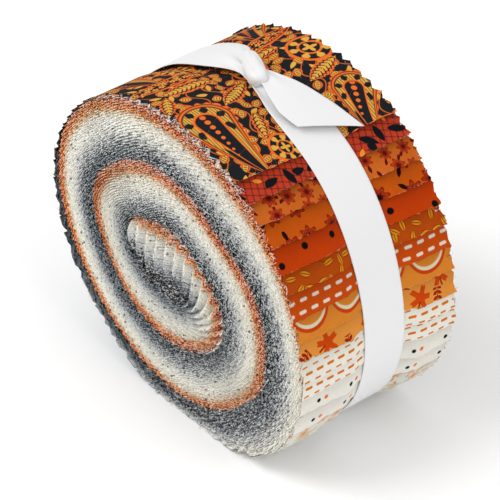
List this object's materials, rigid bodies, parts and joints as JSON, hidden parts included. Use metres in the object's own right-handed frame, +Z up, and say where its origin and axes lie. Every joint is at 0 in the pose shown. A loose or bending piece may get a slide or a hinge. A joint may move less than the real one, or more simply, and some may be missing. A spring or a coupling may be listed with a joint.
{
  "type": "fabric strip roll",
  "caption": "Spiral roll of pinked quilting-cotton strips, folded in half and stacked, with their ends fanned round the rim, tied round the middle with a knotted white satin ribbon.",
  "frame": {"origin": "on the surface that the roll rests on, under the middle of its box", "axes": "+Z up; the roll's axis runs along Y, with the wound face that shows best at -Y; +X to the right of that face"},
  "size_m": [0.1224, 0.0636, 0.1164],
  "materials": {
    "cotton": "plain-woven printed quilting cotton with pinked raw edges",
    "satin": "white satin ribbon with a soft sheen"
  },
  "bodies": {
    "root": {"fabric_roll": "cotton", "ribbon_tie": "satin"}
  },
  "joints": []
}
